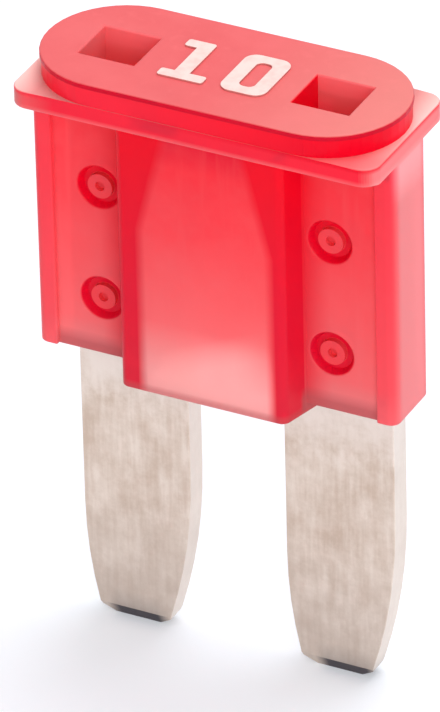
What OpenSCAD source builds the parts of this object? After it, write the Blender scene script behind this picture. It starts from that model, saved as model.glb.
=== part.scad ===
/* [Fuse element] */
// Thickness of the metal strip
strip_t = 0.64; // [0.5:0.02:0.8]
// Width of a blade
blade_w = 2.78; // [2.6:0.02:2.9]
// Distance between the centre lines of the blades
blade_pitch = 5.22; // [5:0.02:5.6]
// Length of the blades below the body
blade_out = 7.54; // [6.8:0.1:8.4]
// How far the strip sits behind the housing's middle plane
strip_back = 0.12; // [0:0.02:0.16]
// How far the strip sits to the right of the housing's middle
strip_side = 0.15; // [0:0.01:0.2]
// Height above the tip at which the left edge of a blade starts to curve in
left_curve_h = 3; // [2:0.1:4]
// How far the left edge has come in at the tip
left_curve_in = 0.4; // [0.2:0.02:0.5]
// Height above the tip at which the right edge of a blade starts to curve in
right_curve_h = 4.4; // [3:0.1:5]
// How far the right edge has come in at the tip
right_curve_in = 0.72; // [0.3:0.02:0.8]
// Height of the sloped corners of the nose
nose_h = 0.22; // [0.15:0.01:0.4]
// How much each sloped corner takes off the nose
nose_in = 0.25; // [0.1:0.01:0.3]
// Height of the bevels on the nose's front and back
bevel_h = 0.32; // [0.2:0.02:0.6]
// Thickness left at the very tip
tip_t = 0.3; // [0.2:0.02:0.4]

/* [Fusible link] */
// Height of the link's arch centre above the body's lower end
link_up = 3.5; // [3.2:0.05:3.8]
// How far the link's feet reach into the blades
link_seat = 0.14; // [0.08:0.01:0.2]
// Width of the link at its feet
link_w = 0.5; // [0.4:0.02:0.6]
// Width of the link at its crown, where it melts
link_neck = 0.3; // [0.2:0.02:0.36]
// Thickness of the thinned link
link_t = 0.3; // [0.2:0.02:0.4]

/* [Chamber round the link] */
// How far the chamber reaches past the inner edge of each blade
chamber_past = 0.43; // [0.3:0.01:0.5]
// Thickness of the chamber, front to back
chamber_t = 2.26; // [2:0.02:2.4]
// Height of the chamber's straight sides above the body's lower end
chamber_side = 3.9; // [3.6:0.05:4.2]
// Height of the chamber's top above the body's lower end
chamber_top = 5.8; // [5.4:0.05:6]
// How far each side of the chamber leans in at its top
chamber_lean = 0.65; // [0.4:0.01:0.8]
// Radius of the chamber's upright corners
chamber_r = 0.2; // [0.1:0.02:0.3]

/* [Housing body] */
// Mean thickness of the body's walls past the two edges of the strip
end_wall = 0.52; // [0.4:0.01:0.7]
// Thickness of the body at its two ends
body_t = 1.74; // [1.6:0.02:2.2]
// Height of the body between its lower end and the flange
body_h = 6.74; // [6.2:0.02:8]
// Radius of the body's upright corners
body_r = 0.25; // [0.1:0.05:0.4]
// Width of the raised rim at each end of the body
rim_w = 0.5; // [0.3:0.05:0.5]
// Depth of the side panels below the rims
panel_depth = 0.1; // [0.04:0.02:0.14]

/* [Bulges over the chamber] */
// Thickness of the bulges' front and back walls
bulge_wall = 0.39; // [0.3:0.01:0.6]
// Thickness of the bulges' side walls, at the flat face
bulge_side_wall = 0.42; // [0.3:0.01:0.5]
// How much further each side of a bulge reaches where it leaves the panels
bulge_draw = 0.2; // [0.1:0.01:0.25]
// Radius of a bulge's upright corners
bulge_r = 0.22; // [0.1:0.02:0.3]
// How far the bulges reach below the body
bulge_drop = 0.22; // [0.1:0.02:0.5]

/* [Slot] */
// Size of the chamfer at the slot's mouth, which guides the strip in
lead_in = 0.12; // [0.06:0.01:0.16]

/* [Head] */
// Height of the flange that stands out over the body
flange_h = 0.45; // [0.35:0.05:0.7]
// How far the flange stands out over the bulges, front and back
flange_out = 0.36; // [0.2:0.02:0.5]
// Radius of the flange's corners
flange_r = 0.42; // [0.2:0.02:0.6]
// Height of the round-ended cap on the flange
cap_h = 0.57; // [0.4:0.01:0.8]
// How far the cap's round ends sit back from the flange's ends
cap_back = 0.085; // [0.04:0.005:0.2]
// How far the cap's sides stand past the flange, front and back
cap_over = 0.02; // [0:0.005:0.06]
// Height of the thin lip round the top of the cap
lip_h = 0.12; // [0.08:0.02:0.2]
// How far the lip stands out from the cap's wall
lip_out = 0.035; // [0.02:0.005:0.06]

/* [Test wells] */
// How far outside half the blades' distance the middle of a well sits
well_off = 0.06; // [0:0.01:0.1]
// Length of a test well
well_l = 1.42; // [1.2:0.02:1.5]
// Width of a test well, front to back
well_w = 1.34; // [1.1:0.02:1.38]
// Depth of a test well, down to the metal
well_depth = 1.7; // [1.4:0.05:1.9]

/* [Stakes] */
// Diameter of the holes that the stakes fill
stake_hole_d = 0.8; // [0.6:0.02:0.9]
// How far outside half the blades' distance the stakes sit
stake_off = 0.29; // [0.2:0.01:0.34]
// Height of the lower stakes above the body's lower end
stake_low = 1.49; // [1.1:0.01:1.8]
// Distance between the lower and the upper stakes
stake_pitch = 2.92; // [2.6:0.02:3]
// Diameter of a stake's dimple at the panel
dimple_d = 1.1; // [1:0.02:1.2]
// Depth of a stake's dimple
dimple_depth = 0.18; // [0.1:0.01:0.2]
// Diameter of the ring left standing in the dimple
ring_d = 0.62; // [0.5:0.02:0.7]
// Diameter of the pit in that ring
pit_d = 0.24; // [0.16:0.02:0.3]
// Height of that ring above the dimple's floor
ring_h = 0.13; // [0.06:0.01:0.16]

/* [Rating digits] */
// Thickness of the stamped foil
foil_t = 0.05; // [0.03:0.01:0.08]
// Height of the digits
digit_h = 1.7; // [1.4:0.05:1.8]
// Width of a digit
digit_w = 1.14; // [0.9:0.02:1.2]
// Width of the digits' upright strokes
stroke_w = 0.38; // [0.3:0.01:0.4]
// Width of the digits' level strokes
bar_w = 0.3; // [0.2:0.01:0.36]
// How far the stem of the 1 stands in from the left end of its base
stem_in = 0.32; // [0.2:0.01:0.38]
// Distance between the centres of the two digits
digit_pitch = 1.5; // [1.4:0.02:1.7]
// Radius of the strokes' outer corners
digit_r = 0.3; // [0.1:0.02:0.36]
// Radius of the strokes' inner corners
counter_r = 0.15; // [0.05:0.01:0.18]
// Radius of the strokes' free ends
stroke_r = 0.07; // [0.03:0.01:0.1]

/* [Fits] */
// Gap between the strip and its slot, and between a stake and its hole
clearance = 0.03; // [0.02:0.005:0.04]

/* [Hidden] */
$fn = 72;

housing_red = [0.90, 0.13, 0.18, 0.9];
strip_metal = [0.80, 0.75, 0.70];
foil_white = [0.96, 0.93, 0.88];

// Lengths and depths, from the blades outwards
blade_gap = blade_pitch - blade_w;
link_r = blade_gap / 2 + link_seat;
slot_l = blade_pitch + blade_w + 2 * clearance;
chamber_w = blade_gap + 2 * chamber_past;
bulge_face_w = chamber_w + 2 * bulge_side_wall;
bulge_root_w = bulge_face_w + 2 * bulge_draw;
bulge_t = chamber_t + 2 * bulge_wall;
body_l = slot_l + 2 * end_wall;
flange_d = bulge_t + 2 * flange_out;
cap_l = body_l - 2 * cap_back;
cap_d = flange_d + 2 * cap_over;

// Levels, from the tips of the blades upwards
body_z = blade_out;
bulge_z = body_z - bulge_drop;
link_z = body_z + link_up;
flange_z = body_z + body_h;
cap_z = flange_z + flange_h;
top_z = cap_z + cap_h;
strip_top = top_z - well_depth;
stake_zs = [body_z + stake_low, body_z + stake_low + stake_pitch];

// Places sideways, and distances from the middle plane
stake_x = blade_pitch / 2 + stake_off;
well_x = blade_pitch / 2 + well_off;
panel_y = body_t / 2 - panel_depth;
bulge_y = bulge_t / 2;
dimple_floor_y = panel_y - dimple_depth;
stake_d = stake_hole_d - 2 * clearance;

// How far a cutting shape runs past the face that it cuts
past = 1;

// Facets for a circle as large as the long arcs of the blades' edges
fine = 360;

function unit(v) = v / norm(v);

// Half of the inside angle at corner i of a convex outline
function half_angle(pts, i) =
    let (n = len(pts), a = unit(pts[(i + n - 1) % n] - pts[i]), b = unit(pts[(i + 1) % n] - pts[i]))
    acos(a * b) / 2;

// The two points where a round of radius r meets the sides at corner i
function round_ends(pts, i, r) =
    let (n = len(pts), d = r / tan(half_angle(pts, i)))
    [pts[i] + d * unit(pts[(i + n - 1) % n] - pts[i]), pts[i] + d * unit(pts[(i + 1) % n] - pts[i])];

// The middle of the round of radius r at corner i
function round_centre(pts, i, r) =
    let (n = len(pts), a = unit(pts[(i + n - 1) % n] - pts[i]), b = unit(pts[(i + 1) % n] - pts[i]))
    pts[i] + unit(a + b) * r / sin(half_angle(pts, i));

// A convex outline whose corners are true arcs of radius r
module rounded(pts, r) {
    polygon([for (i = [0 : len(pts) - 1]) each round_ends(pts, i, r)]);
    for (i = [0 : len(pts) - 1])
        translate(round_centre(pts, i, r))
            circle(r);
}

module rounded_box(l, d, r) {
    rounded([[-l / 2, -d / 2], [l / 2, -d / 2], [l / 2, d / 2], [-l / 2, d / 2]], r);
}

// A bar with half-round ends
module stadium(l, d) {
    square([l - d, d], center = true);
    for (side = [-1, 1])
        translate([side * (l - d) / 2, 0])
            circle(d / 2);
}

// A shape drawn in X and Z, given a thickness about the plane y
module upright(y, t) {
    translate([0, y + t / 2, 0])
        rotate([90, 0, 0])
            linear_extrude(t)
                children();
}

module on_both_faces() {
    for (side = [0, 1])
        rotate([0, 0, side * 180])
            children();
}

module at_stakes() {
    for (x = [-1, 1], z = stake_zs)
        translate([x * stake_x, 0, z])
            children();
}

module body_block() {
    panel_l = body_l - 2 * rim_w;
    difference() {
        translate([0, 0, body_z])
            linear_extrude(body_h + flange_h / 2)
                rounded_box(body_l, body_t, body_r);
        on_both_faces()
            translate([-panel_l / 2, panel_y, body_z - past])
                cube([panel_l, past, body_h + past]);
    }
}

// Each bulge leaves the side panel at its root width and draws in towards its flat face
module bulges() {
    draw_in = (bulge_root_w - bulge_face_w) / 2 / (bulge_y - panel_y);
    face = bulge_face_w / 2;
    back = face + draw_in * (bulge_y + panel_y);
    translate([0, 0, bulge_z])
        linear_extrude(flange_z + flange_h / 2 - bulge_z)
            on_both_faces()
                intersection() {
                    rounded([[-back, -panel_y], [back, -panel_y], [face, bulge_y], [-face, bulge_y]],
                            bulge_r);
                    translate([-back, 0])
                        square([2 * back, bulge_y]);
                }
}

module head() {
    translate([0, 0, flange_z])
        linear_extrude(flange_h)
            rounded_box(body_l, flange_d, flange_r);
    translate([0, 0, cap_z])
        linear_extrude(cap_h)
            stadium(cap_l - 2 * lip_out, cap_d - 2 * lip_out);
    translate([0, 0, top_z - lip_h])
        linear_extrude(lip_h)
            stadium(cap_l, cap_d);
}

// The slot's mouth is wider than the rest, by a chamfer on its front and back
module strip_slot() {
    half = strip_t / 2 + clearance;
    mouth_half = half + lead_in;
    floor_z = bulge_z - past;
    translate([strip_side - slot_l / 2, strip_back, 0])
        rotate([90, 0, 90])
            linear_extrude(slot_l)
                polygon([[-mouth_half, floor_z], [mouth_half, floor_z], [mouth_half, body_z],
                         [half, body_z + lead_in], [half, strip_top], [-half, strip_top],
                         [-half, body_z + lead_in], [-mouth_half, body_z]]);
}

module link_chamber() {
    side_z = body_z + chamber_side;
    roof_z = body_z + chamber_top;
    floor_z = bulge_z - past;
    half = chamber_w / 2;
    half_top = half - chamber_lean;
    intersection() {
        translate([0, 0, floor_z])
            linear_extrude(roof_z - floor_z)
                rounded_box(chamber_w, chamber_t, chamber_r);
        upright(0, chamber_t)
            polygon([[-half, floor_z], [half, floor_z], [half, side_z],
                     [half_top, roof_z], [-half_top, roof_z], [-half, side_z]]);
    }
}

module test_wells() {
    for (side = [-1, 1])
        translate([side * well_x - well_l / 2, -well_w / 2, strip_top - clearance])
            cube([well_l, well_w, well_depth + clearance + past]);
}

module dimples() {
    on_both_faces()
        at_stakes()
            translate([0, dimple_floor_y, 0])
                rotate([-90, 0, 0]) {
                    cylinder(d1 = dimple_d - dimple_depth, d2 = dimple_d, h = dimple_depth);
                    translate([0, 0, dimple_depth])
                        cylinder(d = dimple_d, h = past);
                }
}

// The stake runs from wall to wall through the strip's hole
module stakes() {
    at_stakes()
        translate([0, dimple_floor_y, 0])
            rotate([90, 0, 0])
                cylinder(d = stake_d, h = 2 * dimple_floor_y);
    on_both_faces()
        at_stakes()
            translate([0, dimple_floor_y, 0])
                rotate([-90, 0, 0])
                    difference() {
                        cylinder(d = ring_d, h = ring_h);
                        cylinder(d = pit_d, h = ring_h + past);
                    }
}

module housing() {
    color(housing_red) {
        difference() {
            union() {
                body_block();
                bulges();
                head();
            }
            strip_slot();
            link_chamber();
            test_wells();
            dimples();
        }
        stakes();
    }
}

// Radius of an edge's arc, which starts upright at height h and has come in by in at the tip
function arc_r(h, in) = (h * h + in * in) / (2 * in);

// How far that edge has come in at height z
function come_in(h, in, z) = arc_r(h, in) - sqrt(pow(arc_r(h, in), 2) - pow(h - z, 2));

// What is cut off one edge of a blade: all that lies outside the arc, and a corner of the nose
module edge_waste(side, h, in) {
    half = blade_w / 2;
    difference() {
        translate([side > 0 ? half - in - past : -half, -past])
            square([in + past, h + past]);
        translate([side * (half - arc_r(h, in)), h])
            circle(arc_r(h, in), $fn = fine);
    }
    polygon([[side * (half - in - nose_in), 0], [side * (half + past), 0], [side * (half + past), nose_h],
             [side * (half - come_in(h, in, nose_h)), nose_h]]);
}

// One blade's outline about its own centre line: straight, then two long arcs and a blunt nose
module blade_outline() {
    difference() {
        translate([-blade_w / 2, 0])
            square([blade_w, strip_top]);
        edge_waste(-1, left_curve_h, left_curve_in);
        edge_waste(1, right_curve_h, right_curve_in);
    }
}

// What a blade keeps of its thickness: all of it, but for the bevels on the nose
module nose_bevels() {
    half = strip_t / 2;
    rotate([90, 0, 90])
        linear_extrude(2 * body_l, center = true)
            polygon([[-tip_t / 2, 0], [tip_t / 2, 0], [half, bevel_h], [half, strip_top],
                     [-half, strip_top], [-half, bevel_h]]);
}

// The link is an arch whose inner round lies lower than its outer one, so its crown is the narrowest
module link_outline() {
    inner_r = link_r - (link_w + link_neck) / 2;
    shift = (link_w - link_neck) / 2;
    intersection() {
        difference() {
            circle(link_r);
            translate([0, shift])
                circle(inner_r);
        }
        translate([-link_r, 0])
            square([2 * link_r, link_r]);
    }
}

module fuse_element() {
    color(strip_metal)
        difference() {
            translate([strip_side, strip_back, 0]) {
                intersection() {
                    upright(0, strip_t)
                        for (side = [-1, 1])
                            translate([side * blade_pitch / 2, 0])
                                blade_outline();
                    nose_bevels();
                }
                upright(0, link_t)
                    translate([0, link_z])
                        link_outline();
            }
            translate([0, strip_back, 0])
                at_stakes()
                    rotate([90, 0, 0])
                        cylinder(d = stake_hole_d, h = strip_t + past, center = true);
        }
}

module digit_one() {
    left = -digit_w / 2;
    stem_x = left + stem_in + stroke_w / 2;
    flag_w = stem_in + stroke_w;
    translate([0, (bar_w - digit_h) / 2])
        rounded_box(digit_w, bar_w, stroke_r);
    translate([stem_x, 0])
        rounded_box(stroke_w, digit_h, stroke_r);
    translate([left + flag_w / 2, (digit_h - bar_w) / 2])
        rounded_box(flag_w, bar_w, stroke_r);
}

module digit_zero() {
    difference() {
        rounded_box(digit_w, digit_h, digit_r);
        rounded_box(digit_w - 2 * stroke_w, digit_h - 2 * bar_w, counter_r);
    }
}

module rating_digits() {
    color(foil_white)
        translate([0, 0, top_z])
            linear_extrude(foil_t) {
                translate([-digit_pitch / 2, 0])
                    digit_one();
                translate([digit_pitch / 2, 0])
                    digit_zero();
            }
}

housing();
fuse_element();
rating_digits();
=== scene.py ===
"""A micro-size automotive blade fuse: its see-through moulded housing, plated strip and stamped digits."""
import math

import bmesh
import bpy
import numpy as np
from bpy.props import FloatProperty, FloatVectorProperty, PointerProperty
from mathutils import Matrix, Vector


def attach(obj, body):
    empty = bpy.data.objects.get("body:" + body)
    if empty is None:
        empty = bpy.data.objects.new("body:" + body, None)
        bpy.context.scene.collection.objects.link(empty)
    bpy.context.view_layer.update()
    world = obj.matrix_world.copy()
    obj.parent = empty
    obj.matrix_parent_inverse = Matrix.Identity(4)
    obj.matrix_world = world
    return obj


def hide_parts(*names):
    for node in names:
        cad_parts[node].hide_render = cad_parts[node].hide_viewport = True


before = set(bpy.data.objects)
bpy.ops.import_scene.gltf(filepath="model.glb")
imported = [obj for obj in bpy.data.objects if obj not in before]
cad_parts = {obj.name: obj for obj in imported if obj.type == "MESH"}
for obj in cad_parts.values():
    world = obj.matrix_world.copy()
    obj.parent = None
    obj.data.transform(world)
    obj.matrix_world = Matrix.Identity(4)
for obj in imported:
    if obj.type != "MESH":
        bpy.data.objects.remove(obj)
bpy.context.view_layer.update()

bl_info = {
    "name": "Blade Fuse",
    "version": (1, 0, 0),
    "blender": (4, 5, 0),
    "location": "View3D > Sidebar > Blade Fuse",
    "description": "Finishes the housing, the strip and the digits of a micro-size blade fuse",
    "category": "Object",
}

MM = 0.001
BODY = "root"
PHOTO_HEIGHT = 712
SENSOR = 36.0
# Edges that turn more than SHARP are kept sharp or rounded, and faces that turn less than FLAT become one
SHARP = math.radians(35)
FLAT = math.radians(0.4)
# Corners nearer than this, in metres, are one corner
MERGED = 1e-7

# The rest of these are in mm. Middles of the stakes across and upwards
STAKE_X = 2.9
STAKE_ZS = (9.03, 11.95)
# How far right the shade of the chamber lies, and how fast the upper edge of the pale pool in it slants
CHAMBER_SHADE = 0.12
POOL_SLANT = -0.45
# The strip's middle, the middle of a blade's nose from there, and how raggedly the strip's band of painted
# light ends
STRIP_X = 0.15
NOSE_X = 2.7
RAGGEDNESS = 3
# How far from its level an edge may lie and still be in a soft zone
LEVEL_GAP = 0.004

# Where the housing's mould leaves a rounded edge: axis, level, and how far out in X or in Y
SOFT_ZONES = (
    (2, 15.3, 0, 0),
    (2, 14.73, 3.4, 9),
    (2, 14.28, 9, 1.62),
    (2, 7.54, 4.4, 0.7),
    (2, 7.32, 1.7, 1.2),
    (1, 0.87, 0, 0),
    (1, 0.77, 0, 0),
)

# Limits of the bulges, the side panels and the two narrow ends, as within takes them
ON_BULGE = (("out_y", 0.8, 0.86), ("out_x", 3.4, 3.2))
ON_PANEL = ("out_y", 1.0, 0.9)
AT_END = (("end_on", 0.5, 0.9), ("out_x", 4.3, 4.5))


def linear(hex_colour):
    """Linear red, green and blue of an sRGB hex colour."""
    value = np.array([int(hex_colour[i:i + 2], 16) for i in (1, 3, 5)]) / 255
    return tuple(np.where(value <= 0.04045, value / 12.92, ((value + 0.055) / 1.055) ** 2.4).tolist())


def per_mm(size_mm):
    """Scale of a texture on Object coordinates, in metres, whose features are size_mm apart."""
    return 1 / (size_mm * MM)


def add(tree, kind, inputs=None, **settings):
    """Adds a node to tree with its settings. An input takes a value, a socket or a node's first output."""
    made = tree.nodes.new(kind)
    for name, value in settings.items():
        setattr(made, name, value)
    for name, value in (inputs or {}).items():
        if isinstance(value, bpy.types.Node):
            value = value.outputs[0]
        if isinstance(value, bpy.types.NodeSocket):
            tree.links.new(value, made.inputs[name])
        else:
            made.inputs[name].default_value = value
    return made


def new_material(name):
    """An empty node material, with its tree and its output."""
    material = bpy.data.materials.new(name)
    material.use_nodes = True
    material.node_tree.nodes.clear()
    tree = material.node_tree
    return material, tree, add(tree, "ShaderNodeOutputMaterial")


def measures(tree):
    """What is known at a point: its place for textures, in metres, x, y and z in mm, how far out it lies from
    the middle planes in X and Y, and how much its surface looks up, to the nearer end or to a broad face."""
    place = add(tree, "ShaderNodeTexCoord").outputs["Object"]
    in_mm = add(tree, "ShaderNodeVectorMath", {0: place, "Scale": 1 / MM}, operation="SCALE")
    normal = add(tree, "ShaderNodeNewGeometry").outputs["Normal"]
    at = {"place": place, "looks_up": add(tree, "ShaderNodeSeparateXYZ", {"Vector": normal}).outputs["Z"]}
    at.update(zip("xyz", add(tree, "ShaderNodeSeparateXYZ", {"Vector": in_mm}).outputs))
    for vector, names in ((in_mm, ("out_x", "out_y")), (normal, ("end_on", "face_on"))):
        unsigned = add(tree, "ShaderNodeVectorMath", {0: vector}, operation="ABSOLUTE")
        at.update(zip(names, add(tree, "ShaderNodeSeparateXYZ", {"Vector": unsigned}).outputs))
    return at


def within(tree, at, *limits, strength=1.0):
    """Strength times, for each limit, a rise from 0 to 1 as a measure goes from its start to its end."""
    share = None
    for name, start, end in limits:
        rise = add(tree, "ShaderNodeMapRange", {"Value": at[name], "From Min": start, "From Max": end})
        if share is None:
            rise.inputs["To Max"].default_value = strength
            share = rise
        else:
            share = add(tree, "ShaderNodeMath", {0: share, 1: rise}, operation="MULTIPLY")
    return share


def either(tree, first, *others):
    """The largest of some shares at each point."""
    for other in others:
        first = add(tree, "ShaderNodeMath", {0: first, 1: other}, operation="MAXIMUM")
    return first


def laid(tree, under, over, share):
    """The colour under with a share of over laid on it, each a linked socket or a linear colour."""
    ends = [end if isinstance(end, bpy.types.NodeSocket) else (*end, 1) for end in (under, over)]
    return add(tree, "ShaderNodeMix", {0: share, 6: ends[0], 7: ends[1]}, data_type="RGBA").outputs[2]


def graded(tree, factor, stops):
    """The colour at factor among (position, linear colour) stops."""
    made = add(tree, "ShaderNodeValToRGB", {"Fac": factor})
    elements = made.color_ramp.elements
    while len(elements) < len(stops):
        elements.new(0.5)
    for element, (position, colour) in zip(elements, stops):
        element.position = position
        element.color = (*colour, 1)
    return made.outputs["Color"]


def seen_directly(tree):
    """1 for the camera, mirrors and clear plastic, and 0 for the light that falls on things."""
    path = add(tree, "ShaderNodeLightPath")
    return either(tree, *(path.outputs[f"Is {kind} Ray"] for kind in ("Camera", "Glossy", "Transmission")))


def nylon_tint(tree, at, look, faint, faces_up):
    """The nylon's colour: a grade up the moulding, with the tints of its thin and solid places and painted
    light and shade on its faces laid on it.
    """
    # Painted light and shade: the tint deepens with height, faster on the bulges, pale low down where light
    # comes in at the foot and deepest in the flange's shade
    level = add(tree, "ShaderNodeMix", {
        0: within(tree, at, *ON_BULGE),
        2: within(tree, at, ("z", 6.2, 15.0)),
        3: within(tree, at, ("z", 7.6, 14.4)),
    }, data_type="FLOAT")
    tint = graded(tree, level, (
        (0.05, look.foot),
        (0.25, look.low),
        (0.6, look.middle),
        (0.85, look.high),
        (0.96, look.solid),
    ))
    # Light that gathers at the foot of the chamber shows as a pale pool with a slanted edge
    moved = add(tree, "ShaderNodeMath", {0: at["x"], 1: CHAMBER_SHADE}, operation="SUBTRACT")
    at["from_middle"] = add(tree, "ShaderNodeMath", {0: moved}, operation="ABSOLUTE")
    slanted = {0: at["x"], 1: POOL_SLANT, 2: at["z"]}
    at["slant"] = add(tree, "ShaderNodeMath", slanted, operation="MULTIPLY_ADD")
    pool = within(tree, at, ("slant", 9.0, 8.2), ("from_middle", 1.7, 0.7), *ON_BULGE, strength=0.8)
    tint = laid(tree, tint, look.pool, pool)
    # Faint haze and flow lines, but not in solid plastic
    tint = laid(tree, tint, look.haze, faint)
    # Solid plastic beside the chamber, whose top leans in, and painted shade on the panels beside the bulges
    leaning = within(tree, at, ("z", 11.6, 14.3), strength=0.7)
    at["lean"] = add(tree, "ShaderNodeMath", {0: leaning, 1: at["from_middle"]}, operation="ADD")
    beside = within(tree, at, ("lean", 1.5, 1.75), *ON_BULGE, strength=0.97)
    shade_by_bulges = within(tree, at, ("out_x", 2.9, 2.2), ON_PANEL, strength=0.75)
    # The dimples: a deep red floor and wall about a paler stake
    across = add(tree, "ShaderNodeCombineXYZ", {"X": at["out_x"], "Z": at["z"]})
    low, high = (
        add(tree, "ShaderNodeVectorMath", {0: across, 1: (STAKE_X, 0, z)}, operation="DISTANCE")
        for z in STAKE_ZS
    )
    nearest = {0: low.outputs["Value"], 1: high.outputs["Value"]}
    at["from_stake"] = add(tree, "ShaderNodeMath", nearest, operation="MINIMUM")
    dimple = within(tree, at, ("from_stake", 0.58, 0.54), ON_PANEL)
    solid = laid(tree, look.solid, look.deep, within(tree, at, ("z", 10, 13.5)))
    tint = laid(tree, tint, solid, either(tree, beside, shade_by_bulges, dimple))
    tint = laid(tree, tint, look.middle, within(tree, at, ("from_stake", 0.34, 0.3), ON_PANEL))
    # Painted shade about the slot's mouth, and along the edge at the foot of a bulge
    mouth = within(tree, at, ("z", 8.05, 7.75), ("out_x", 4.15, 4.0), ON_PANEL, strength=0.8)
    tint = laid(tree, tint, look.mouth, mouth)
    tint = laid(tree, tint, look.mouth, within(tree, at, ("z", 7.56, 7.42), *ON_BULGE, strength=0.5))
    # The rims, and painted light on the two narrow ends, paler in the middle of an end
    tint = laid(tree, tint, look.rim, within(tree, at, ("out_x", 4.0, 4.1), strength=0.6))
    tint = laid(tree, tint, look.end, within(tree, at, *AT_END, ("out_y", 0.85, 0.5)))
    # The head: a flange with a painted highlight along its lower edge and painted light on its ends, deep red
    # walls, and painted shade on the lip's wall
    flange = laid(tree, look.flange, look.end, within(tree, at, ("z", 14.42, 14.3), strength=0.5))
    flange = laid(tree, flange, look.ledge, within(tree, at, ("end_on", 0.1, 0.8), strength=0.6))
    flange = laid(tree, flange, look.ledge, within(tree, at, ("x", -3.4, -4.4), strength=0.5))
    tint = laid(tree, tint, flange, within(tree, at, ("z", 14.2, 14.28)))
    walls = laid(tree, look.flange, look.head, within(tree, at, ("x", -2, 3)))
    tint = laid(tree, tint, walls, within(tree, at, ("z", 14.6, 14.72)))
    tint = laid(tree, tint, look.lip, within(tree, at, ("z", 15.14, 15.2)))
    # The wells, with painted light and shade: pale long walls, and short walls that are deep red on the right
    short_wall = laid(tree, look.well, look.well_side_shade, within(tree, at, ("x", -2, 1.6)))
    well = laid(tree, short_wall, look.well, within(tree, at, ("face_on", 0.5, 0.9)))
    in_well = within(tree, at, ("out_y", 0.8, 0.72), ("z", 13.5, 13.8), ("out_x", 3.8, 3.6))
    tint = laid(tree, tint, well, in_well)
    # Painted light on the upper faces: the cap's top, paler to its right, and the flange's ledge, paler at
    # its ends, with painted shade at its front right
    lit_top = laid(tree, look.top, look.top_right_light, within(tree, at, ("x", 0, 4)))
    ledge = laid(tree, look.ledge, look.ledge_end_light, within(tree, at, ("out_x", 3.9, 4.5)))
    front_right_shade = within(tree, at, ("x", 0, 2), ("y", 0.8, -1.4), strength=0.7)
    ledge = laid(tree, ledge, look.middle, front_right_shade)
    upper_light_and_shade = laid(tree, ledge, lit_top, within(tree, at, ("z", 14.9, 15.1)))
    upper_light_and_shade = laid(tree, upper_light_and_shade, look.haze, faint)
    return laid(tree, tint, upper_light_and_shade, faces_up)


def moulded_nylon(look):
    """Red polyamide 12, injection moulded: hazy and see-through, deep red where it is solid and pale where it
    is thin, with painted light and shade on its faces, and a soft gloss that a faint wave and a fine grain
    break up."""
    material, tree, out = new_material("moulded_nylon")
    at = measures(tree)
    place = at["place"]
    at["haze"] = add(tree, "ShaderNodeTexNoise", {
        "Vector": place,
        "Scale": per_mm(1.6),
        "Detail": 5.0,
        "Roughness": 0.6,
    })
    along_flow = (per_mm(0.3), per_mm(0.3), per_mm(4))
    stretched = add(tree, "ShaderNodeVectorMath", {0: place, 1: along_flow}, operation="MULTIPLY")
    at["flow"] = add(tree, "ShaderNodeTexNoise", {"Vector": stretched, "Scale": 1.0, "Detail": 3.0})
    faint = either(
        tree,
        within(tree, at, ("haze", 0.4, 0.8), strength=0.2),
        within(tree, at, ("flow", 0.5, 0.9), strength=0.2),
    )
    faces_up = within(tree, at, ("looks_up", 0.4, 0.95), ("z", 14.2, 14.3))
    # The mould's real grain is finer, and is drawn as coarse as it needs to show
    waves = add(tree, "ShaderNodeTexNoise", {"Vector": place, "Scale": per_mm(1.3), "Detail": 2.0})
    grain = add(tree, "ShaderNodeTexNoise", {"Vector": place, "Scale": per_mm(0.09), "Detail": 3.0})
    wavy = add(tree, "ShaderNodeBump", {"Height": waves, "Strength": 0.3, "Distance": 0.03 * MM})
    bump = add(tree, "ShaderNodeBump", {
        "Height": grain,
        "Strength": 0.12,
        "Distance": 0.006 * MM,
        "Normal": wavy,
    })
    gloss = add(tree, "ShaderNodeMapRange", {
        "Value": at["haze"],
        "To Min": look.roughness - 0.08,
        "To Max": look.roughness + 0.08,
    })
    # The head's upper faces, and the ends next to the strip's upper corners, let less light through
    cloudy = either(tree, faces_up, within(tree, at, *AT_END, ("z", 13.2, 13.9)))
    clear = add(tree, "ShaderNodeMapRange", {
        "Value": cloudy,
        "To Min": look.clearness,
        "To Max": look.head_clearness,
    })
    # A lower IOR than nylon's 1.53 keeps what lies behind the thin walls in its place
    shader = add(tree, "ShaderNodeBsdfPrincipled", {
        "Base Color": nylon_tint(tree, at, look, faint, faces_up),
        "Roughness": gloss,
        "IOR": 1.2,
        "Transmission Weight": clear,
        "Normal": bump,
    })
    depth = add(tree, "ShaderNodeVolumeAbsorption", {
        "Color": (*look.depth_colour, 1),
        "Density": look.depth_density,
    })
    tree.links.new(shader.outputs["BSDF"], out.inputs["Surface"])
    tree.links.new(depth.outputs["Volume"], out.inputs["Volume"])
    return material


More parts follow.
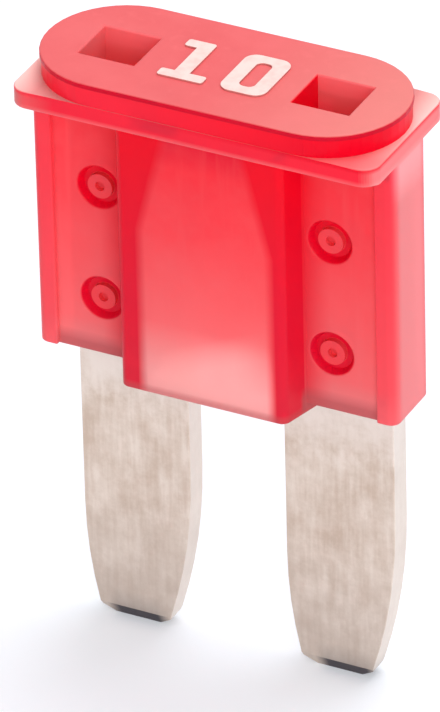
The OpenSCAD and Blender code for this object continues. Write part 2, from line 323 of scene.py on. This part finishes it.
def plated_zinc(look):
    """Tin-plated zinc strip, rolled and stamped: matt warm silver, mottled, with faint upright rolling lines,
    painted light near the housing and on its side edges, and painted shade towards the tips and on the bevels
    of the noses."""
    material, tree, out = new_material("plated_zinc")
    at = measures(tree)
    place = at["place"]
    # Rolling lines and grain are finer on the real strip, and are drawn as coarse as they need to show
    along_roll = (per_mm(0.12), per_mm(0.12), per_mm(1.2))
    stretched = add(tree, "ShaderNodeVectorMath", {0: place, 1: along_roll}, operation="MULTIPLY")
    lines = add(tree, "ShaderNodeTexNoise", {"Vector": stretched, "Scale": 1.0, "Detail": 4.0})
    cloud = add(tree, "ShaderNodeTexNoise", {
        "Vector": place,
        "Scale": per_mm(0.8),
        "Detail": 8.0,
        "Roughness": 0.7,
    })
    grain = add(tree, "ShaderNodeTexNoise", {"Vector": place, "Scale": per_mm(0.06), "Detail": 2.0})
    mottle = add(tree, "ShaderNodeMix", {0: 0.7, 2: lines, 3: cloud}, data_type="FLOAT")
    colour = graded(tree, mottle, ((0.38, look.dark), (0.62, look.light)))
    # Painted light near the housing in a band with a ragged edge, painted shade towards the tips, and painted
    # light on the side edges
    ragged = {0: cloud, 1: RAGGEDNESS, 2: at["z"]}
    at["ragged"] = add(tree, "ShaderNodeMath", ragged, operation="MULTIPLY_ADD")
    colour = laid(tree, colour, look.clean, within(tree, at, ("ragged", 7.3, 8.6), strength=0.8))
    colour = laid(tree, colour, look.tip_shade, within(tree, at, ("ragged", 5, 1.8), strength=0.5))
    colour = laid(tree, colour, look.cut, within(tree, at, ("end_on", 0.7, 0.95), strength=0.6))
    # Painted shade on the nose: dark on its downward bevels and faintly near the floor, fading upwards and to
    # its corners
    at["from_nose"] = at["x"]
    for middle in (STRIP_X, NOSE_X):
        moved = add(tree, "ShaderNodeMath", {0: at["from_nose"], 1: middle}, operation="SUBTRACT")
        at["from_nose"] = add(tree, "ShaderNodeMath", {0: moved}, operation="ABSOLUTE")
    bevels = within(tree, at, ("looks_up", -0.25, -0.4))
    at["nose"] = either(tree, bevels, within(tree, at, ("z", 0.8, 0.3), strength=0.35))
    colour = laid(tree, colour, look.nose, within(tree, at, ("nose", 0, 1), ("from_nose", 0.8, 0.5)))
    height = add(tree, "ShaderNodeMath", {0: grain, 1: cloud}, operation="ADD")
    dull = add(tree, "ShaderNodeMapRange", {
        "Value": cloud,
        "To Min": look.roughness - 0.12,
        "To Max": look.roughness + 0.12,
    })
    shader = add(tree, "ShaderNodeBsdfPrincipled", {
        "Base Color": colour,
        "Metallic": 0.75,
        "Roughness": dull,
        "Normal": add(tree, "ShaderNodeBump", {"Height": height, "Strength": 0.35, "Distance": 0.01 * MM}),
    })
    tree.links.new(shader.outputs["BSDF"], out.inputs["Surface"])
    return material


def stamped_foil(look):
    """White pigment foil, hot stamped: a satin coat, whiter in the middle of a stroke, broken by fine pores,
    and with painted shade on its sides."""
    material, tree, out = new_material("stamped_foil")
    at = measures(tree)
    place = at["place"]
    # The pores of a real foil are finer, and are drawn as coarse as they need to show
    cover = add(tree, "ShaderNodeTexNoise", {"Vector": place, "Scale": per_mm(0.25), "Detail": 5.0})
    at["pores"] = add(tree, "ShaderNodeTexVoronoi", {"Vector": place, "Scale": per_mm(0.12)})
    colour = graded(tree, cover, ((0.35, look.thin), (0.6, look.full)))
    colour = laid(tree, colour, look.thin, within(tree, at, ("pores", 0.12, 0.04), strength=0.5))
    # Painted shade on the foil's sides
    colour = laid(tree, colour, look.side, within(tree, at, ("looks_up", 0.8, 0.3)))
    shader = add(tree, "ShaderNodeBsdfPrincipled", {
        "Base Color": colour,
        "Roughness": 0.5,
        "Normal": add(tree, "ShaderNodeBump", {"Height": cover, "Strength": 0.3, "Distance": 0.01 * MM}),
    })
    tree.links.new(shader.outputs["BSDF"], out.inputs["Surface"])
    return material


def white_sweep(look):
    """White paper sweep: matt, with a glow of its own for the camera, mirrors and clear plastic alone."""
    material, tree, out = new_material("white_sweep")
    glow = add(tree, "ShaderNodeMath", {0: seen_directly(tree), 1: look.floor_glow}, operation="MULTIPLY")
    fibres = add(tree, "ShaderNodeTexNoise", {
        "Vector": add(tree, "ShaderNodeTexCoord").outputs["Object"],
        "Scale": per_mm(0.4),
        "Detail": 4.0,
    })
    bump = add(tree, "ShaderNodeBump", {"Height": fibres, "Strength": 0.05, "Distance": 0.01 * MM})
    paper = add(tree, "ShaderNodeBsdfDiffuse", {"Color": (*look.floor, 1), "Normal": bump})
    light = add(tree, "ShaderNodeEmission", {"Strength": glow})
    both = add(tree, "ShaderNodeAddShader", {0: paper, 1: light})
    tree.links.new(both.outputs[0], out.inputs["Surface"])
    return material


def merged_mesh(node, name):
    """A copy of a CAD node's mesh with its corners merged and its flat faces made whole."""
    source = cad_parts[node].data
    corners = np.zeros(len(source.vertices) * 3, np.float32)
    source.vertices.foreach_get("co", corners)
    loops = np.zeros(len(source.loops), np.int32)
    source.loops.foreach_get("vertex_index", loops)
    keys = np.round(corners.reshape(-1, 3) / MERGED).astype(np.int64)
    keys, merged = np.unique(keys, axis=0, return_inverse=True)
    mesh = bpy.data.meshes.new(name)
    mesh.from_pydata((keys * MERGED).tolist(), [], merged.ravel()[loops].reshape(-1, 3).tolist())
    built = bmesh.new()
    built.from_mesh(mesh)
    bmesh.ops.dissolve_limit(built, angle_limit=FLAT, verts=built.verts, edges=built.edges)
    built.to_mesh(mesh)
    built.free()
    return mesh


def is_soft(edge, zones):
    """Whether an edge lies in one of the zones: planes across an axis, outside a rectangle about it."""
    first, second = (vertex.co / MM for vertex in edge.verts)
    middle = (first + second) / 2
    for axis, level, past_x, past_y in zones:
        in_plane = max(abs(abs(end[axis]) - level) for end in (first, second)) < LEVEL_GAP
        if in_plane and (abs(middle.x) > past_x or abs(middle.y) > past_y):
            return True
    return False


def finished_copy(node, name, material, edge_r, segments=3, zones=None):
    """A finished copy of a CAD node. Its sharp convex edges, or those in zones, are rounded to edge_r."""
    mesh = merged_mesh(node, name)
    built = bmesh.new()
    built.from_mesh(mesh)
    weight = built.edges.layers.float.new("bevel_weight_edge")
    for edge in built.edges:
        if edge.calc_face_angle(0) > SHARP:
            edge.smooth = False
            edge[weight] = float(edge.is_convex and (zones is None or is_soft(edge, zones)))
    built.to_mesh(mesh)
    built.free()
    mesh.materials.append(material)
    piece = bpy.data.objects.new(name, mesh)
    bpy.context.scene.collection.objects.link(piece)
    bevel = piece.modifiers.new("Rounded edges", "BEVEL")
    bevel.width = edge_r
    bevel.segments = segments
    bevel.limit_method = "WEIGHT"
    bevel.use_clamp_overlap = False
    bevel.loop_slide = False
    normals = piece.modifiers.new("Flat faces stay flat", "WEIGHTED_NORMAL")
    normals.keep_sharp = True
    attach(piece, BODY)
    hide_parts(node)


def colour_property(name, description, hex_colour):
    """A colour that a user may change."""
    return FloatVectorProperty(
        name=name,
        description=description,
        default=linear(hex_colour),
        size=3,
        subtype="COLOR",
        min=0,
        max=1,
    )


def radius_property(description, radius_mm):
    """The radius of a piece's edges."""
    return FloatProperty(
        name="Edge radius",
        description=description,
        default=radius_mm * MM,
        min=0,
        precision=6,
        unit="LENGTH",
    )


def share_property(name, description, default):
    """A number from 0 to 1 that a user may change."""
    return FloatProperty(name=name, description=description, default=default, min=0, max=1, subtype="FACTOR")


class HousingLook(bpy.types.PropertyGroup):
    """Finish of the moulded housing."""

    edge_r: radius_property("Radius of the moulded edges", 0.04)
    # Painted light and shade up the moulding: paler low down, deeper under the flange
    foot: colour_property("Foot", "Tint at the lower end", "#FFB0AE")
    low: colour_property("Low", "Tint a little higher", "#FF7478")
    middle: colour_property("Middle", "Tint at middle height", "#FF4E58")
    high: colour_property("High", "Tint under the flange", "#FF3A48")
    solid: colour_property("Solid", "Tint of solid plastic", "#EE1036")
    deep: colour_property("Deep", "Tint of solid plastic under the flange", "#F80026")
    rim: colour_property("Rim", "Tint of the rims at the ends", "#FF4458")
    # Painted light on the two narrow ends
    end: colour_property("End", "Tint of the two narrow ends", "#FF989B")
    head: colour_property("Head", "Tint of the head's walls", "#F4002A")
    # Painted light on the cap's upper face
    top: colour_property("Top", "Tint of the cap's upper face", "#E26467")
    top_right_light: colour_property("Top's side", "Tint of the right of that face", "#E4807C")
    # Painted shade about the slot's mouth
    mouth: colour_property("Mouth", "Tint about the slot's mouth", "#C45E62")
    pool: colour_property("Pool", "Tint of the light at the chamber's foot", "#FFB8B4")
    # Painted shade on the lip's wall
    lip: colour_property("Lip", "Tint of the lip's edge", "#D0002C")
    flange: colour_property("Flange", "Tint of the flange's edge", "#FF2A44")
    # Painted light on the flange's upper face
    ledge: colour_property("Ledge", "Tint of the flange's upper face", "#E2918F")
    ledge_end_light: colour_property("Ledge's end", "Tint at the ends of the flange's upper face", "#FFD0CA")
    # Painted light and shade in the test wells
    well: colour_property("Well", "Tint of the long walls of the test wells", "#FF8488")
    well_side_shade: colour_property("Well's side", "Tint of the right well's short walls", "#FF0028")
    haze: colour_property("Haze", "Tint of the faint haze", "#FF8C8E")
    depth_colour: FloatVectorProperty(
        name="Depth colour",
        description="Colour that the nylon takes with depth",
        default=(1.0, 0.1, 0.15),
        size=3,
        subtype="COLOR",
        min=0,
        max=1,
    )
    depth_density: FloatProperty(
        name="Depth density",
        description="How fast the nylon darkens, per metre",
        default=800,
        min=0,
    )
    roughness: share_property("Roughness", "Roughness of the surface", 0.33)
    clearness: share_property("Clearness", "Share of the light that passes through", 0.42)
    head_clearness: share_property("Head's clearness", "That share on the head's upper faces", 0.05)


class StripLook(bpy.types.PropertyGroup):
    """Finish of the plated strip."""

    edge_r: radius_property("Radius of the stamped edges", 0.03)
    light: colour_property("Light", "Colour of the bright patches", "#DECFC3")
    dark: colour_property("Dark", "Colour of the dull patches", "#C5B0A0")
    # Painted light near the housing and on the side edges, painted shade towards the tips
    clean: colour_property("Clean", "Colour next to the housing", "#E1D4CB")
    tip_shade: colour_property("Handled", "Colour towards the tips", "#BFB2A9")
    cut: colour_property("Cut", "Colour of the cut edges", "#EAE0D8")
    # Painted shade on the bevels of the noses
    nose: colour_property("Nose", "Colour of the bevels on the noses", "#4C454A")
    roughness: share_property("Roughness", "Roughness of the plating", 0.48)


class DigitLook(bpy.types.PropertyGroup):
    """Finish of the stamped digits."""

    edge_r: radius_property("Radius of the foil's edges", 0.012)
    full: colour_property("Full", "Colour where the foil covers well", "#EED3CD")
    # Painted shade on the foil's sides
    side: colour_property("Side", "Colour of the foil's sides", "#C07470")
    thin: colour_property("Thin", "Colour where the red shines through", "#F4C6C0")


class StageLook(bpy.types.PropertyGroup):
    """Camera, floor and light."""

    azimuth: FloatProperty(
        name="Azimuth",
        description="Turn of the camera about the upright axis, from -Y",
        default=math.radians(27.449),
        subtype="ANGLE",
    )
    elevation: FloatProperty(
        name="Elevation",
        description="Height of the camera above the horizon",
        default=math.radians(31.635),
        subtype="ANGLE",
    )
    roll: FloatProperty(
        name="Roll",
        description="Turn of the camera about its own axis",
        default=math.radians(-1.467),
        subtype="ANGLE",
    )
    distance: FloatProperty(
        name="Distance",
        description="From the camera to its target",
        default=208.476 * MM,
        unit="LENGTH",
    )
    target_side: FloatProperty(
        name="Target side",
        description="How far right of the origin the camera aims",
        default=-0.291 * MM,
        unit="LENGTH",
        precision=6,
    )
    target_height: FloatProperty(
        name="Target height",
        description="Height that the camera aims at",
        default=7.805 * MM,
        unit="LENGTH",
        precision=6,
    )
    focal_px: FloatProperty(name="Focal length", description="In pixels of the photograph", default=9167.27)
    floor: colour_property("Floor", "Colour of the paper", "#E6EAF1")
    floor_glow: FloatProperty(name="Floor glow", description="Glow that makes the paper white", default=0.17)
    sky: FloatProperty(name="Sky", description="Strength of the even white light", default=0.72)
    lamp: FloatProperty(name="Lamp", description="Power of the lamp behind", default=0.27, unit="POWER")
    fill: FloatProperty(name="Fill", description="Power of the lamp in front", default=0.83, unit="POWER")


def look_matrix(look):
    """The camera's place and turn: its back vector points from the target to the camera."""
    cos_a = math.cos(look.azimuth)
    sin_a = math.sin(look.azimuth)
    cos_e = math.cos(look.elevation)
    back = Vector((sin_a * cos_e, -cos_a * cos_e, math.sin(look.elevation)))
    right = Vector((cos_a, sin_a, 0))
    up = back.cross(right)
    side = math.cos(look.roll) * right + math.sin(look.roll) * up
    top = -math.sin(look.roll) * right + math.cos(look.roll) * up
    eye = right * look.target_side + Vector((0, 0, look.target_height)) + back * look.distance
    turn = Matrix((side, top, back)).transposed().to_4x4()
    return Matrix.Translation(eye) @ turn


def photo_camera(scene, look):
    """The camera at the photograph's place, turn and focal length."""
    data = bpy.data.cameras.new("camera")
    data.sensor_width = SENSOR
    data.lens = look.focal_px * SENSOR / PHOTO_HEIGHT
    data.clip_start = 0.01
    data.clip_end = 10
    camera = bpy.data.objects.new("camera", data)
    camera.matrix_world = look_matrix(look)
    scene.collection.objects.link(camera)
    scene.camera = camera


def round_floor(scene, look, radius=0.5, rings=24, sides=64):
    """The paper floor: a disc of quads on rings of points about the origin, and of triangles at its hub."""
    distances = np.linspace(0.02, 1, rings) * radius
    turns = np.linspace(0, 2 * math.pi, sides + 1)[:-1]
    x = np.append(0, np.outer(distances, np.cos(turns)).ravel())
    y = np.append(0, np.outer(distances, np.sin(turns)).ravel())
    ring, turn = np.meshgrid(np.arange(rings - 1), np.arange(sides), indexing="ij")
    here = 1 + ring * sides + turn
    along = 1 + ring * sides + (turn + 1) % sides
    quads = np.stack([here, here + sides, along + sides, along], -1).reshape(-1, 4)
    hub = [[0, 1 + i, 1 + (i + 1) % sides] for i in range(sides)]
    mesh = bpy.data.meshes.new("floor")
    mesh.from_pydata(np.stack([x, y, 0 * x], 1).tolist(), [], hub + quads.tolist())
    mesh.materials.append(white_sweep(look))
    floor = bpy.data.objects.new("floor", mesh)
    scene.collection.objects.link(floor)


def even_light(scene, look):
    """An even white world, at full white for whatever sees it directly and at the sky's strength as light."""
    world = bpy.data.worlds.new("even_light")
    scene.world = world
    world.use_nodes = True
    tree = world.node_tree
    tree.nodes.clear()
    level = add(tree, "ShaderNodeMapRange", {"Value": seen_directly(tree), "To Min": look.sky, "To Max": 1.0})
    glow = add(tree, "ShaderNodeBackground", {"Strength": level})
    out = add(tree, "ShaderNodeOutputWorld")
    tree.links.new(glow.outputs[0], out.inputs["Surface"])


def soft_lamp(scene, name, power, size, place):
    """A round area lamp at place, aimed at the origin."""
    data = bpy.data.lights.new(name, "AREA")
    data.energy = power
    data.shape = "DISK"
    data.size = size
    lamp = bpy.data.objects.new(name, data)
    lamp.location = place
    lamp.rotation_euler = Vector(place).to_track_quat("Z", "Y").to_euler()
    scene.collection.objects.link(lamp)


class FUSE_OT_housing(bpy.types.Operator):
    """Finish the moulded housing"""

    bl_idname = "fuse.finish_housing"
    bl_label = "Moulded housing"

    def execute(self, context):
        look = context.scene.fuse_housing
        nylon = moulded_nylon(look)
        finished_copy("housing", "moulded_housing", nylon, look.edge_r, zones=SOFT_ZONES)
        return {"FINISHED"}


class FUSE_OT_strip(bpy.types.Operator):
    """Finish the plated strip with its two blades and the link"""

    bl_idname = "fuse.finish_strip"
    bl_label = "Plated strip"

    def execute(self, context):
        look = context.scene.fuse_strip
        finished_copy("fuse_element", "plated_strip", plated_zinc(look), look.edge_r)
        return {"FINISHED"}


class FUSE_OT_digits(bpy.types.Operator):
    """Finish the stamped digits"""

    bl_idname = "fuse.finish_digits"
    bl_label = "Stamped digits"

    def execute(self, context):
        look = context.scene.fuse_digits
        foil = stamped_foil(look)
        finished_copy("rating_digits", "foil_digits", foil, look.edge_r, segments=2)
        return {"FINISHED"}


class FUSE_OT_stage(bpy.types.Operator):
    """Set the floor, the light and the camera"""

    bl_idname = "fuse.set_stage"
    bl_label = "Stage"

    def execute(self, context):
        scene = context.scene
        look = scene.fuse_stage
        round_floor(scene, look)
        even_light(scene, look)
        soft_lamp(scene, "lamp_behind", look.lamp, 0.15, (0.02, 0.06, 0.22))
        soft_lamp(scene, "lamp_in_front", look.fill, 0.3, (0.17, -0.24, 0.08))
        photo_camera(scene, look)
        scene.view_settings.view_transform = "Standard"
        return {"FINISHED"}


class FUSE_PT_panel(bpy.types.Panel):
    """Lists the steps that finish the fuse."""

    bl_idname = "FUSE_PT_panel"
    bl_label = "Blade Fuse"
    bl_space_type = "VIEW_3D"
    bl_region_type = "UI"
    bl_category = "Blade Fuse"

    def draw(self, context):
        for operator in OPERATORS:
            self.layout.operator(operator.bl_idname)


LOOKS = {
    "fuse_housing": HousingLook,
    "fuse_strip": StripLook,
    "fuse_digits": DigitLook,
    "fuse_stage": StageLook,
}
OPERATORS = (FUSE_OT_housing, FUSE_OT_strip, FUSE_OT_digits, FUSE_OT_stage)


def register():
    """Registers the looks, the operators and the panel."""
    for owner in (*LOOKS.values(), *OPERATORS, FUSE_PT_panel):
        bpy.utils.register_class(owner)
    for name, owner in LOOKS.items():
        setattr(bpy.types.Scene, name, PointerProperty(type=owner))


def unregister():
    """Takes back what register did."""
    for name in LOOKS:
        delattr(bpy.types.Scene, name)
    for owner in (FUSE_PT_panel, *reversed(OPERATORS), *reversed(LOOKS.values())):
        bpy.utils.unregister_class(owner)


def main():
    """Builds every piece and the stage."""
    register()
    bpy.ops.fuse.finish_housing()
    bpy.ops.fuse.finish_strip()
    bpy.ops.fuse.finish_digits()
    bpy.ops.fuse.set_stage()


if __name__ == "__main__":
    main()
